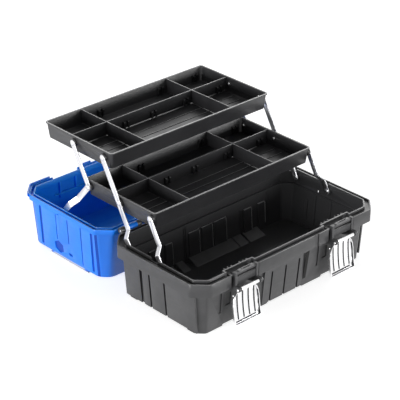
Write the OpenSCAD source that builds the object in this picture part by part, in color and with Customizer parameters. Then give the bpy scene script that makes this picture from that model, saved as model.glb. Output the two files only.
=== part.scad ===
// Cantilever tool box with two trays that swing out when the lid is opened.
// Drawn open: lid turned over behind the base, both trays raised and swung back.
// X runs along the box, Y from front to back, Z up. The origin is the centre of the underside.

/* [Base] */
// Length over the collar
box_length = 432; // [400:2:480]
// Depth over the collar
box_depth = 227; // [215:1:260]
// Height of the tongue that stands inside the lid
base_height = 106; // [100:1:125]
// How far the underside stands in from the collar's face
foot_in = 20; // [18:0.5:26]
// Thickness of the moulded walls
wall = 2.6; // [2:0.1:3.2]
// Thickness of the floor
floor_t = 5; // [4:0.5:8]
// Leg of the corner chamfers at the collar
corner = 25; // [16:1:30]
// Softening radius at each end of a chamfer
corner_soft = 9; // [4:1:12]

/* [Collar and tongue] */
// Distance from the collar's face to the tongue's face
rim_offset = 10.5; // [9:0.5:14]
// Height of the collar's skirt
collar_height = 23.5; // [16:0.5:28]
// Thickness of the collar's skirt
collar_wall = 2.4; // [2:0.1:3]
// How far the tongue stands above the collar's lip
tongue_rise = 2.5; // [1:0.5:5]
// Depth of the channel that takes the lid's edge, below the collar's lip
channel_depth = 4; // [3:0.5:6]
// Height of the ledge inside, where the walls step in
ledge_z = 78; // [70:1:82]
// Width of that ledge
ledge_w = 4.5; // [3:0.5:6]

/* [Lid] */
// Gap under the open lid, above the ground
lid_ground_gap = 0.5; // [0.4:0.1:2]
// How far the lid's walls lean in
lid_draft = 11.7; // [8:0.1:12]
// Height of the raised platform on the lid's top
plinth_rise = 5.3; // [4:0.1:6]
// Depth of that platform, front to back
plinth_depth = 122; // [110:1:130]
// How far the lid's front wall leans in
lid_front_draft = 5; // [3:0.1:8]
// Height of the band around the lid's edge
band_height = 10; // [8:0.5:14]
// Thickness of the lid's flat top
lid_top_t = 2.4; // [2:0.1:3]
// How far the locating tabs reach down over the collar
tab_height = 2.6; // [2:0.1:6]

/* [Hinge] */
// Distance of the hinge axis behind the collar
hinge_back = 6; // [5.9:0.1:8]
// Height of the hinge axis above the collar's lip
hinge_rise = 1.7; // [1.5:0.1:2.5]
// Radius of the hinge knuckles
knuckle_r = 5.5; // [4.5:0.1:5.5]
// Radius of the hinge pins
hinge_pin_r = 2; // [1.5:0.1:2.5]
// Width of each lid knuckle
lid_knuckle_w = 26; // [16:1:40]
// Width of each base knuckle
base_knuckle_w = 9; // [6:1:14]
// Distance of the inner hinges from the middle
hinge_inner_x = 62; // [50:1:90]
// Distance of the outer hinges from the collar's ends
hinge_outer_in = 56; // [51:1:80]

/* [Trays] */
// Distance between the tray's rim and the collar's face at each end
tray_side_gap = 30.6; // [30:0.1:40]
// How much less deep the trays are than the collar
tray_depth_gap = 49; // [48:0.5:60]
// Height of a tray
tray_height = 29.3; // [26:0.1:30]
// Thickness of a tray's walls
tray_wall = 1.8; // [1.4:0.1:2.4]
// Thickness of a tray's floor
tray_floor = 1.8; // [1.4:0.1:2.4]
// How far the tray's walls lean in
tray_draft = 3; // [2:0.1:4]
// Width that the rim stands out from the wall
tray_lip = 1.4; // [1:0.1:2]
// Distance of the lengthwise partition from the front
partition_y = 106.5; // [90:0.5:120]
// Place of the left cross partition, from the middle
partition_left = 105; // [80:1:130]
// Place of the right cross partition, from the middle
partition_right = 95; // [80:1:130]
// Thickness of the partitions
partition_t = 1.6; // [1.2:0.1:2]
// How far the partitions stop below the rim
partition_drop = 1.2; // [0.5:0.1:3]

/* [Linkage] */
// Height of the arm pivots in the base
pivot_z = 93; // [88:0.5:94]
// Distance of the main arm's pivot in the base from the collar's back
main_pivot_in = 38.5; // [36:0.5:42]
// Distance between the pivots of an arm
arm_length = 80; // [78:0.5:81]
// Lean of the arms when the box is open
arm_open = 30; // [26:1:32]
// Lean of the arms when the box is closed
arm_closed = -66; // [-67:1:-65]
// Height of the tray pivots below the tray's rim
tray_pivot_drop = 12; // [11:0.5:13]
// Distance of the front arm's pivot from the lower tray's front
front_pivot_in = 9.6; // [9:0.1:12]
// Distance of the rear arm's pivot from the lower tray's back
rear_pivot_in = 12.4; // [11:0.1:14]
// Distance of the main arm's pivot from the upper tray's front
upper_main_y = 20; // [18:0.1:22]
// Distance of the lid link's pivot behind the hinge, in the open lid
lid_pivot_back = 135.5; // [130:0.5:140]
// Width of the arms
arm_w = 11; // [9:0.5:12]
// Thickness of the arms
arm_t = 1.6; // [1.2:0.1:1.6]
// Gap between an arm and what it turns beside
arm_gap = 0.2; // [0.15:0.05:0.3]
// Distance between the arms and the base's walls
arm_wall_gap = 3.3; // [2.8:0.1:4]
// Where that step ends, from the base pivot
step_end = 33; // [28:1:40]
// Length of the step along the arm
step_length = 13; // [10:1:16]
// Distance of the step in the lid link from the tray pivot
link_step = 42; // [38:1:46]
// Radius of the rivets
rivet_r = 2.4; // [2:0.1:2.6]
// Radius of the rivet heads
rivet_head_r = 4.4; // [4:0.1:5]
// Thickness of the rivet heads
rivet_head_t = 1.3; // [1:0.1:1.4]
// Radial clearance of turning fits
turn_fit = 0.05; // [0.03:0.01:0.08]
// Radius of the moulded bosses around the pivots
boss_r = 7; // [6:0.5:8]

/* [Latches] */
// Distance of the latches from the middle
latch_x = 115; // [105:1:120]
// How far the latch pins stand in front of the collar
latch_out = 10.5; // [10.5:0.5:12.5]
// Height of the latch pins
latch_z = 79.5; // [76:0.5:82]
// Radius of the latch pins
latch_pin_r = 1.6; // [1.2:0.1:2]
// Half the distance between the latch posts
post_gap = 21.5; // [20:0.5:24]
// Width of each latch post
post_w = 5; // [4:0.5:6]
// Height of the latch posts above the channel's floor
post_rise = 8; // [6:0.5:10]
// Width of the latch plate
plate_w = 59; // [55:1:62]
// Length of the latch plate below its pin
plate_length = 68; // [64:1:70]
// Thickness of the latch plate
plate_t = 1.4; // [1:0.1:1.6]
// Radius of the plate's rolled edge
roll_r = 3.3; // [2.8:0.1:3.6]
// How far the plate stands behind its pin
plate_back = 11.5; // [10.5:0.5:12]
// Radius of the plate's outward sweep
plate_sweep_r = 220; // [190:5:260]
// Number of ribs on the plate
plate_ribs = 5; // [4:1:8]
// Depth of the flange around the plate
plate_flange = 4.5; // [3.5:0.5:5]
// Swing of the latches from hanging open to closed, in degrees
latch_swing = 190; // [188:1:192]

/* [Handle and organisers] */
// Depth of the wells in the lid's platform
well_depth = 10; // [8:0.5:10]
// Thickness under the wells
well_floor = 1.8; // [1.4:0.1:2]
// Length of the carrying handle
handle_length = 150; // [130:1:160]
// Reach of the carrying handle
handle_reach = 46; // [40:1:50]
// Thickness of the carrying handle
handle_t = 8.4; // [6:0.2:8.4]
// Width of the handle's grip and sides
handle_bar = 18; // [14:1:20]
// Radius of the handle's pins
handle_pin_r = 2; // [1.6:0.1:2.4]
// Length of an organiser cover
cover_length = 92; // [80:1:96]
// Depth of an organiser cover
cover_depth = 104; // [96:1:108]
// Thickness of an organiser cover
cover_t = 1.8; // [1.4:0.1:2.2]
// Width of the lip at the end of an organiser cover
cover_lip_w = 84; // [60:1:90]
// Radius of the cover's hinge barrel
cover_barrel_r = 2.4; // [2.2:0.1:2.6]
// Radius of the cover's hinge pins
cover_pin_r = 1.1; // [0.9:0.1:1.2]
// Gap around the handle and the covers
seat_gap = 0.6; // [0.4:0.1:1]

/* [Hidden] */

eps = 0.01;
cut = 1;
soft_steps = 3;
fine = 48;
sweep_fine = 180;

// Gap between the closed lid and the collar's lip
edge_gap = 0.3;
// How far the lid's walls stand behind the collar's face, where they meet its band
wall_back = 3.8;
// Panels on the base's end and front walls
front_panel_left = 56;
front_panel_right = 36;
panel_foot = 1.5;
panel_top = 3.7;
flare_drop = 2;
feet_rise = 3;
groove_in = 1.3;
groove_lean = 4.5;
tab_t = 2.4;
tab_from = 53;
tab_to = 78;
slot_from = 47;
slot_to = 59.5;
slot_in = 1.7;
hx = box_length / 2;
hy = box_depth / 2;
corner_tab_from = hx - 68;
foot_length = box_length - 2 * foot_in;
foot_depth = box_depth - 2 * foot_in;
end_panel_half = foot_depth / 2 - 6.5;
end_notch_half = foot_depth / 3;
front_notches = [[-1, 42], [foot_length / 2 - 106, foot_length / 2 - 50]];
notch_in = 6;
collar_top = base_height - tongue_rise;
channel_z = collar_top - channel_depth;
collar_bottom = collar_top - collar_height;
flare_z = channel_z - flare_drop;
tongue_x = hx - rim_offset;
tongue_y = hy - rim_offset;
band_in_x = tongue_x - wall;
band_in_y = tongue_y - wall;
wall_top_x = band_in_x - ledge_w + wall;
wall_top_y = band_in_y - ledge_w + wall;
end_lean = atan((wall_top_x - foot_length / 2) / ledge_z);
front_lean = atan((wall_top_y - foot_depth / 2) / ledge_z);

hinge_y = hy + hinge_back;
hinge_outer_x = hx - hinge_outer_in;
hinge_z = collar_top + hinge_rise;
band_z = collar_top + edge_gap;
plinth_top = 2 * hinge_z - lid_ground_gap;
lid_top = plinth_top - plinth_rise;
lid_height = lid_top - band_z;
lid_x = hx - wall_back;
lid_y = hy - wall_back;
lid_slope = lid_draft / lid_height;
lid_lean = atan(lid_slope);
lid_end_x = lid_x - lid_draft;
lid_soft = min(20, 1.6 * leg_at(lid_end_x));
// The lid's edge: a band outside, a lip inside that fits around the tongue, and a web between them
band_step = 0.5;
band_t = 2.2;
band_x = hx - band_step;
band_y = hy - band_step;
band_top = band_z + band_height;
web_z = band_top - band_t;
lip_x = tongue_x + edge_gap + band_t;
lip_y = tongue_y + edge_gap + band_t;
plinth_x = lid_end_x - 1;
well_bottom = plinth_top - well_depth;

// Pivots, seen from the side, as [y, z]
lean_open = arm_length * [sin(arm_open), cos(arm_open)];
lean_closed = arm_length * [sin(arm_closed), cos(arm_closed)];
tray_length = box_length - 2 * tray_side_gap;
tray_depth = box_depth - tray_depth_gap;
arm_spacing = (tray_depth - front_pivot_in - rear_pivot_in) / 2;
lower_main_y = front_pivot_in + arm_spacing;
main_base = [hy - main_pivot_in, pivot_z];
front_base = main_base - [arm_spacing, 0];
main_low = main_base + lean_open;
main_up = main_low + lean_open;
front_low = front_base + lean_open;
rear_low = main_low + [arm_spacing, 0];
rear_up = rear_low + lean_open;
rear_low_closed = main_base + [arm_spacing, 0] + lean_closed;
// The lid link is as long when the box is closed as it is when the box is open
mirror_point = 2 * [hinge_y, hinge_z] - rear_low_closed;
lid_pivot_y = hinge_y + lid_pivot_back;
lid_pivot_z = ((norm(mirror_point) ^ 2 - norm(rear_low) ^ 2) / 2
    - lid_pivot_y * (mirror_point[0] - rear_low[0])) / (mirror_point[1] - rear_low[1]);
lid_pivot = [lid_pivot_y, lid_pivot_z];
lid_boss = 2 * [hinge_y, hinge_z] - lid_pivot;
boss_end_x = lid_x - lid_slope * (lid_boss[1] + boss_r - band_z) - wall / 2;
link_reach = norm(lid_pivot - rear_low);
link_lean = atan2(lid_pivot[0] - rear_low[0], lid_pivot[1] - rear_low[1]);
lower_front = main_low[0] - lower_main_y;
upper_front = main_up[0] - upper_main_y;
lower_rim = main_low[1] + tray_pivot_drop;
upper_rim = main_up[1] + tray_pivot_drop;

// Layers across the box, from the trays to the walls
arm_stand = 1.8;
link_play = 0.8;
arm_x = tray_length / 2 + arm_stand;
arm_out_x = tongue_x - wall - arm_wall_gap - arm_t;
arm_step = arm_out_x - arm_x;
link_x = arm_x + arm_t + arm_gap;
link_out_x = arm_out_x + arm_t + link_play;
link_side = link_out_x - link_x;
base_boss_x = arm_out_x + arm_t + arm_gap;
tray_wall_x = tray_length / 2 - tray_lip - tray_draft * tray_pivot_drop / tray_height;
rivet_tail_t = 1;
rivet_tail_r = rivet_head_r - 1.6;
inner_pad = 1.2;
rib_rise = 1;
divider_gap = 0.2;
arm_notch_w = 16;

latch_y = hy + latch_out;
lug_r = 4.4;
post_front = latch_y - roll_r - 3.5;
post_back = lid_y + 0.6;
post_top = channel_z + post_rise;
bay_half = post_gap + post_w + 5;
bay_in = 6.5;
bay_y = tongue_y - bay_in;
plate_low = latch_z - plate_length;
plate_bend_z = latch_z - 13.5;
plate_top = plate_bend_z + 4;
plate_face_y = latch_y - plate_back;
plate_end_y = plate_face_y + plate_sweep_r - sqrt(plate_sweep_r ^ 2 - (plate_bend_z - plate_low) ^ 2);
latch_pin = [-latch_y, latch_z];
lip_tip = when_latched([-plate_end_y - plate_flange, plate_low + plate_t]);
catch_top = lip_tip[1] - 0.4;
catch_y = lip_tip[0] - 2.4;

handle_axis_y = 22;
handle_drop = 0.9;
handle_axis_z = plinth_top - handle_drop - handle_t / 2;
handle_pin_in = 12;
handle_pin_out = 6;
recess_x = handle_length / 2 + seat_gap;
cover_end_x = plinth_x;
cover_axis_x = cover_end_x - cover_length + cover_barrel_r;
cover_axis_z = plinth_top - cover_barrel_r;
cover_barrel_w = cover_depth - 12;
cover_pin_l = 14;
cover_lip_t = 1.6;
well_rest = 4;

// Outline with softened chamfers at its four corners
function ring(hw, hd, leg, r) =
    let (k = leg - r * (2 - sqrt(2)), ix = hw - r, iy = hd - r,
        v = [[ix, iy - k], [ix - k, iy], [k - ix, iy], [-ix, iy - k],
            [-ix, k - iy], [k - ix, -iy], [ix - k, -iy], [ix, k - iy]])
    [for (i = [0:7]) for (j = [0:soft_steps])
        v[i] + r * [cos(45 * i + 45 * j / soft_steps), sin(45 * i + 45 * j / soft_steps)]];

// The chamfer leg of an outline that lies a distance further in
function leg_in(leg, inset) = leg - inset * (2 - sqrt(2));

// The chamfer leg of an outline of half width hw that keeps an even distance from the collar's
function leg_at(hw) = leg_in(corner, hx - hw);

// Where a point of the hanging latch plate, seen from the side, is once the latch is closed
function when_latched(p) =
    let (d = p - latch_pin)
    latch_pin + [d[0] * cos(latch_swing) + d[1] * sin(latch_swing),
        d[1] * cos(latch_swing) - d[0] * sin(latch_swing)];

module slab(hw, hd, leg, r, z, h) {
    translate([0, 0, z]) linear_extrude(h) polygon(ring(hw, hd, leg, r));
}

module tapered(hw0, hd0, leg0, z0, hw1, hd1, leg1, z1, r) {
    hull() {
        slab(hw0, hd0, leg0, r, z0, eps);
        slab(hw1, hd1, leg1, r, z1 - eps, eps);
    }
}

module band(out_x, out_y, leg, r, thick, z0, z1) {
    difference() {
        slab(out_x, out_y, leg, r, z0, z1 - z0);
        slab(out_x - thick, out_y - thick, leg_in(leg, thick), max(r - thick, 1),
            z0 - cut, z1 - z0 + 2 * cut);
    }
}

module both_sides() {
    children();
    mirror([1, 0, 0]) children();
}

// A box given by its two opposite corners
module block(a, b) {
    translate(a) cube(b - a);
}

// A round bar along X through the point [y, z]
module x_bar(p, x0, x1, r) {
    translate([x0, p[0], p[1]]) rotate([0, 90, 0]) cylinder(h = x1 - x0, r = r, $fn = fine);
}

// A flat side profile, drawn as [y, z], with a thickness along X
module x_plate(x0, x1) {
    translate([x0, 0, 0]) rotate([90, 0, 90]) linear_extrude(x1 - x0) children();
}

// Turns what is drawn on the closed box over about the lid's hinge
module turned_over() {
    translate([0, 2 * hinge_y, 2 * hinge_z]) rotate([180, 0, 0]) children();
}

/* Base */

module base_tub() {
    difference() {
        tapered(foot_length / 2, foot_depth / 2, leg_at(foot_length / 2), 0,
            wall_top_x, wall_top_y, leg_at(wall_top_x), ledge_z, corner_soft);
        tapered(foot_length / 2 - wall, foot_depth / 2 - wall, leg_at(foot_length / 2), floor_t,
            wall_top_x - wall, wall_top_y - wall, leg_at(wall_top_x), ledge_z + eps, corner_soft);
    }
}

module base_rim() {
    leg = leg_at(tongue_x);
    band(tongue_x, tongue_y, leg, corner_soft, tongue_x - wall_top_x + wall, ledge_z - wall, ledge_z);
    band(tongue_x, tongue_y, leg, corner_soft, wall, ledge_z - wall, base_height);
    band(hx, hy, corner, corner_soft, hx - band_in_x, channel_z - wall, channel_z);
    band(hx, hy, corner, corner_soft, collar_wall, collar_bottom, collar_top);
}

module latch_bay_cut() {
    block([latch_x - bay_half, -hy - cut, ledge_z], [latch_x + bay_half, -bay_y, base_height + cut]);
}

module latch_bay() {
    x0 = latch_x - bay_half;
    x1 = latch_x + bay_half;
    block([x0 - wall, -bay_y, ledge_z - wall], [x1 + wall, wall - bay_y, base_height]);
    block([x0 - wall, -tongue_y, ledge_z - wall], [x1 + wall, wall - bay_y, ledge_z]);
    for (x = [x0 - wall, x1]) block([x, -hy, collar_bottom], [x + wall, -bay_y, channel_z]);
    for (x = [x0 - wall, x1]) block([x, -tongue_y, ledge_z - wall], [x + wall, wall - bay_y, base_height]);
    for (s = [-1, 1]) latch_post(latch_x + s * (post_gap + post_w / 2));
    bar_y = post_front - 1.5;
    block([latch_x - post_gap, -bar_y, post_top - 5.5], [latch_x + post_gap, -post_back, post_top - 0.5]);
    block([latch_x - post_gap, -bar_y, latch_z + lug_r + 1],
        [latch_x + post_gap, wall - bar_y, channel_z - 2]);
}

module latch_post(x) {
    difference() {
        union() {
            block([x - post_w / 2, -post_front, latch_z - lug_r], [x + post_w / 2, -bay_y, channel_z]);
            block([x - post_w / 2, -post_front, channel_z - cut], [x + post_w / 2, -post_back, post_top]);
            x_plate(x - post_w / 2, x + post_w / 2)
                polygon([[-bay_y, latch_z - 12], [-latch_y, latch_z - lug_r], [-latch_y, latch_z + lug_r],
                    [-bay_y, latch_z + lug_r]]);
            x_bar([-latch_y, latch_z], x - post_w / 2, x + post_w / 2, lug_r);
        }
        x_bar([-latch_y, latch_z], x - post_w, x + post_w, latch_pin_r);
    }
}

module base_knuckles(x) {
    w = lid_knuckle_w / 2 + 0.4;
    for (x0 = [x - w - base_knuckle_w, x + w]) difference() {
        union() {
            block([x0, hy - collar_wall, collar_bottom + 2], [x0 + base_knuckle_w, hinge_y, collar_top]);
            x_bar([hinge_y, hinge_z], x0, x0 + base_knuckle_w, knuckle_r);
        }
        x_bar([hinge_y, hinge_z], x0 - cut, x0 + base_knuckle_w + cut, hinge_pin_r);
    }
}

// The arms pass over the tongue here
module arm_notch(p) {
    block([arm_out_x - cut, p[0] + 2, channel_z + 1],
        [tongue_x + cut, p[0] + 2 + arm_notch_w, base_height + cut]);
}

// Upright grooves in a wall that leans out by the angle lean
module end_groove(y, w, z0, z1) {
    translate([foot_length / 2, y, 0]) rotate([0, end_lean, 0])
        translate([-groove_in, -w / 2, z0]) cube([10, w, z1 - z0]);
}

// Side profile of a panel that stands proud of the wall and flares out into the collar
function panel_profile(foot_u, top_u, collar_u) = [
    [foot_u - 1, feet_rise], [foot_u + panel_foot, feet_rise],
    [top_u + panel_top, ledge_z], [collar_u, flare_z],
    [collar_u, channel_z], [collar_u - collar_wall, channel_z], [collar_u - collar_wall, flare_z + 1],
    [top_u + panel_top - wall, ledge_z + 1], [top_u - 1, ledge_z]];

module end_panel() {
    translate([0, end_panel_half, 0]) rotate([90, 0, 0]) linear_extrude(2 * end_panel_half)
        polygon(panel_profile(foot_length / 2, wall_top_x, hx));
}

module front_panel() {
    mirror([0, 1, 0]) x_plate(-front_panel_left, front_panel_right)
        polygon(panel_profile(foot_depth / 2, wall_top_y, hy));
}

module front_groove(x, w, z1) {
    translate([x - w / 2, -foot_depth / 2, 0]) rotate([front_lean, 0, 0])
        translate([0, -10, -cut]) cube([w, 10 + groove_in, z1 + cut]);
}

// Beside each latch: a slot and a shallow recess in the front wall
module latch_pocket() {
    for (r = [[-42, -37, 28, 72], [-27, -16, 38, 62]])
        translate([latch_x, -foot_depth / 2, 0]) rotate([front_lean, 0, 0])
            translate([r[0], -10, r[2]]) cube([r[1] - r[0], 10 + groove_in, r[3] - r[2]]);
}

// The underside stands on feet: the lower edge is cut back between them
module foot_notches() {
    both_sides() {
        block([foot_length / 2 - notch_in, -end_notch_half, -cut], [hx, end_notch_half, feet_rise]);
        for (r = front_notches) {
            block([r[0], foot_depth / 2 - notch_in, -cut], [r[1], hy, feet_rise]);
            block([r[0], -hy, -cut], [r[1], notch_in - foot_depth / 2, feet_rise]);
        }
    }
}

// An upright slot in the front of the collar, right of the front panel
module collar_slot() {
    block([slot_from, -hy - cut, collar_bottom - cut], [slot_to, slot_in - hy, collar_top + cut]);
}

module base_shell() {
    color([0.11, 0.11, 0.12]) difference() {
        union() {
            difference() {
                union() {
                    base_tub();
                    base_rim();
                    front_panel();
                    both_sides() end_panel();
                }
                both_sides() {
                    latch_bay_cut();
                    for (g = [[44, 7], [23, 4], [-14, 4]]) end_groove(g[0], g[1], -cut, 74);
                    end_groove(23, 4, 79, 85);
                }
                latch_pocket();
                translate([-2 * latch_x, 0, 0]) latch_pocket();
                for (x = [-38, -5, 27]) front_groove(x, 3.5, 64);
                foot_notches();
                collar_slot();
            }
            both_sides() {
                latch_bay();
                for (x = [hinge_inner_x, hinge_outer_x]) base_knuckles(x);
                for (p = [main_base, front_base]) x_bar(p, base_boss_x, tongue_x - wall / 2, boss_r);
            }
        }
        both_sides() for (p = [main_base, front_base]) {
            x_bar(p, base_boss_x - cut, tongue_x + cut, rivet_r);
            arm_notch(p);
        }
    }
}

/* Lid, drawn closed */

// An outline of the lid's walls at the height z, inset further and with the front wall's own lean
module lid_slab(inset, z) {
    up = (z - band_z) / lid_height;
    half_x = lid_x - lid_draft * up - inset;
    half_y = lid_y - (lid_draft + lid_front_draft) / 2 * up - inset;
    translate([0, (lid_front_draft - lid_draft) / 2 * up, 0])
        slab(half_x, half_y, leg_at(half_x), min(lid_soft, 1.6 * leg_at(half_x)), z, eps);
}

module lid_wall() {
    difference() {
        hull() {
            lid_slab(0, web_z);
            lid_slab(0, lid_top - eps);
        }
        hull() {
            lid_slab(wall, web_z - eps);
            lid_slab(wall, lid_top - lid_top_t);
        }
    }
}

// The band leaves room for the latch posts
module lid_band() {
    half = post_gap + post_w + 2;
    difference() {
        union() {
            band(band_x, band_y, leg_at(band_x), corner_soft, band_t, band_z, band_top);
            band(band_x, band_y, leg_at(band_x), corner_soft, band_x - tongue_x - edge_gap, web_z, band_top);
        }
        both_sides()
            block([latch_x - half, -band_y - cut, band_z - cut], [latch_x + half, -lid_y, band_top + cut]);
    }
    band(lip_x, lip_y, leg_at(lip_x), corner_soft, band_t, band_z, band_top);
}

// Two tabs come down over the collar's front, and one around each front corner
module locating_tabs() {
    tab_y = hy + edge_gap;
    both_sides() {
        block([tab_from, -tab_y - tab_t, band_z - tab_height], [tab_to, -tab_y, band_top - 1]);
        block([tab_from, -tab_y - tab_t, band_z], [tab_to, 1 - band_y, band_top - 1]);
        intersection() {
            corner_tab();
            block([corner_tab_from, -hy - 10, 0], [hx + 10, corner - hy, lid_top]);
        }
    }
}

module corner_tab() {
    out = edge_gap + tab_t;
    difference() {
        union() {
            slab(hx + out, hy + out, leg_at(hx + out), corner_soft, band_z - tab_height, tab_height + 2);
            hull() {
                slab(hx + out, hy + out, leg_at(hx + out), corner_soft, band_z + 1, 1);
                slab(lid_x - 2, lid_y - 2, leg_at(lid_x - 2), corner_soft, band_top + 4, eps);
            }
        }
        slab(hx + edge_gap, hy + edge_gap, leg_at(hx + edge_gap), corner_soft, 0, band_z);
        slab(band_x - 1, band_y - 1, leg_at(band_x - 1), corner_soft, band_z - cut, web_z + 1 + cut - band_z);
        slab(lid_x - 3, lid_y - 3, leg_at(lid_x - 3), corner_soft, web_z, lid_height);
    }
}

// The latch plate's lip comes down over this catch
module lid_catch() {
    block([latch_x - 20, catch_y, catch_top - 10], [latch_x + 20, 8 - lid_y, catch_top]);
    for (x = [latch_x - 20, latch_x + 17])
        block([x, catch_y, band_top - 1], [x + 3, 8 - lid_y, catch_top]);
}

module lid_knuckle(x) {
    difference() {
        union() {
            block([x - lid_knuckle_w / 2, band_y - 1, band_z],
                [x + lid_knuckle_w / 2, hinge_y, hinge_z + knuckle_r]);
            x_bar([hinge_y, hinge_z], x - lid_knuckle_w / 2, x + lid_knuckle_w / 2, knuckle_r);
        }
        x_bar([hinge_y, hinge_z], x - lid_knuckle_w, x + lid_knuckle_w, hinge_pin_r + turn_fit);
    }
}

module lid_platform() {
    py = plinth_depth / 2;
    difference() {
        union() {
            slab(plinth_x, py, 12, 4, lid_top - lid_top_t, plinth_rise + lid_top_t);
            block([-plinth_x + 6, -py + 6, well_bottom - well_floor], [plinth_x - 6, py - 6, lid_top]);
        }
        block([-recess_x, handle_axis_y - handle_reach - handle_bar / 2 - seat_gap, well_bottom],
            [recess_x, handle_axis_y + handle_t / 2 + seat_gap + 2, plinth_top + cut]);
        both_sides() {
            block(
                [cover_axis_x - cover_barrel_r - seat_gap, -cover_depth / 2 - seat_gap,
                    plinth_top - cover_t - 0.2],
                [cover_end_x + cut, cover_depth / 2 + seat_gap, plinth_top + cut]);
            block([cover_axis_x - cover_barrel_r - seat_gap, well_rest - cover_depth / 2, well_bottom],
                [cover_end_x - 12, cover_depth / 2 - well_rest, plinth_top]);
            block([cover_end_x - cover_lip_t - seat_gap, -cover_lip_w / 2 - seat_gap, lid_top + eps],
                [cover_end_x + cut, cover_lip_w / 2 + seat_gap, plinth_top]);
            y_bar(cover_axis_x, -cover_barrel_w / 2 - cover_pin_l,
                cover_barrel_w / 2 + cover_pin_l, cover_pin_r);
            x_bar([handle_axis_y, handle_axis_z], recess_x - cut, recess_x + handle_pin_out, handle_pin_r);
        }
    }
}

module y_bar(x, y0, y1, r) {
    translate([x, y1, cover_axis_z]) rotate([90, 0, 0]) cylinder(h = y1 - y0, r = r, $fn = fine);
}

// Stands on the face of the lid's end wall: x out of the wall, y along it, z up it from the band's edge
module on_lid_end(y) {
    translate([lid_x, y, band_z]) rotate([0, -lid_lean, 0]) children();
}

module lid_end_groove(y, w, z1) {
    on_lid_end(y) rotate([groove_lean, 0, 0])
        translate([-groove_in, -w / 2, band_height + 2]) cube([10, w, z1 - band_height - 2]);
}

// A six-sided finger recess, a slot below it and a notch at the band
module lid_end_recesses() {
    on_lid_end(-23) translate([-1.5, 0, lid_height - 17]) rotate([0, 90, 0])
        cylinder(h = 10, r = 13.2, $fn = 6);
    on_lid_end(8.5) translate([-1.8, -4.5, lid_height - 15]) cube([10, 9, 5.5]);
    block([band_x - 1.6, -9, band_top - 3], [hx + cut, -4, band_top + cut]);
    on_lid_end(-6.5) translate([-1.8, -2.5, band_height - cut]) cube([10, 5, 5]);
}

module lid_shell() {
    color([0.05, 0.33, 0.85]) turned_over() difference() {
        union() {
            difference() {
                lid_wall();
                block([-plinth_x + 7, 7 - plinth_depth / 2, lid_top - lid_top_t - cut],
                    [plinth_x - 7, plinth_depth / 2 - 7, lid_top + cut]);
            }
            lid_band();
            locating_tabs();
            both_sides() {
                lid_catch();
                for (x = [hinge_inner_x, hinge_outer_x]) lid_knuckle(x);
            }
            lid_platform();
            both_sides() x_bar(lid_boss, link_out_x + arm_t + edge_gap, boss_end_x, boss_r);
        }
        both_sides() {
            for (g = [[-63, 6], [48, 2], [77, 6]]) lid_end_groove(g[0], g[1], lid_height - 4);
            lid_end_groove(-20, 2, lid_height - 32);
            lid_end_groove(12, 2, lid_height - 35);
            lid_end_recesses();
        }
    }
}

module catch_screws() {
    color([0.75, 0.76, 0.78]) turned_over() both_sides() for (x = [latch_x - 12, latch_x + 12]) {
        translate([x, catch_y, catch_top - 5]) rotate([90, 0, 0]) cylinder(h = 0.6, r = 2.4, $fn = fine);
    }
}

/* Trays */

module tray(front, rim, pivots) {
    bottom = rim - tray_height;
    hl = tray_length / 2 - tray_lip;
    hd = tray_depth / 2 - tray_lip;
    leg = 4;
    r = 3.4;
    inner_leg = leg_in(leg, tray_wall);
    inner_r = r - tray_wall;
    difference() {
        union() {
            translate([0, front + tray_depth / 2, bottom]) {
                difference() {
                    tapered(hl - tray_draft, hd - tray_draft, leg, 0, hl, hd, leg, tray_height, r);
                    tapered(hl - tray_draft - tray_wall, hd - tray_draft - tray_wall, inner_leg, tray_floor,
                        hl - tray_wall, hd - tray_wall, inner_leg, tray_height + eps, inner_r);
                }
                band(tray_length / 2, tray_depth / 2, leg, r, tray_lip + tray_wall,
                    tray_height - 2.2, tray_height);
                intersection() {
                    tapered(hl - tray_draft, hd - tray_draft, leg, 0, hl, hd, leg, tray_height, r);
                    tray_ribs();
                }
            }
            both_sides() for (p = pivots) {
                x_bar(p, tray_wall_x - tray_wall / 2, arm_x - arm_gap, boss_r);
                x_bar(p, tray_wall_x - tray_wall - inner_pad, tray_wall_x - tray_wall / 2,
                    rivet_head_r + 0.6);
            }
        }
        both_sides() for (p = pivots) x_bar(p, tray_wall_x - 10, arm_x + cut, rivet_r);
    }
}

// Floor ribs and divider slots, with the origin at the middle of the tray's underside
module tray_ribs() {
    hl = tray_length / 2;
    hd = tray_depth / 2;
    for (y = [-0.78, -0.56, -0.34, -0.12, 0.42, 0.64])
        block([-hl + 14, y * hd - 0.6, 0], [hl - 14, y * hd + 0.6, tray_floor + rib_rise]);
    slot_w = 5;
    for (x = [-40, 30]) for (s = [-1, 1])
        block([x + s * 2 - 0.6, -hd, 0], [x + s * 2 + 0.6, slot_w - hd, tray_height - partition_drop - 3]);
}

// Upright dividers: one along the tray and two across it, each of these in two pieces
module tray_dividers(front, rim) {
    top = tray_height - partition_drop;
    foot = tray_floor + rib_rise + divider_gap;
    line_y = partition_y - tray_depth / 2;
    inset = tray_lip + tray_wall + divider_gap;
    hl = tray_length / 2 - inset;
    hd = tray_depth / 2 - inset;
    half_t = partition_t / 2;
    translate([0, front + tray_depth / 2, rim - tray_height]) intersection() {
        tapered(hl - tray_draft, hd - tray_draft, 5, 0, hl, hd, 5, tray_height, 3);
        union() {
            block([-hl, line_y - half_t, foot], [hl, line_y + half_t, top]);
            for (x = [-partition_left, partition_right]) {
                block([x - half_t, -hd, foot], [x + half_t, line_y - half_t - divider_gap, top]);
                block([x - half_t, line_y + half_t + divider_gap, foot], [x + half_t, hd, top]);
            }
        }
    }
}

module lower_tray_dividers() { color([0.13, 0.13, 0.14]) tray_dividers(lower_front, lower_rim); }
module upper_tray_dividers() { color([0.13, 0.13, 0.14]) tray_dividers(upper_front, upper_rim); }

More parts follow.
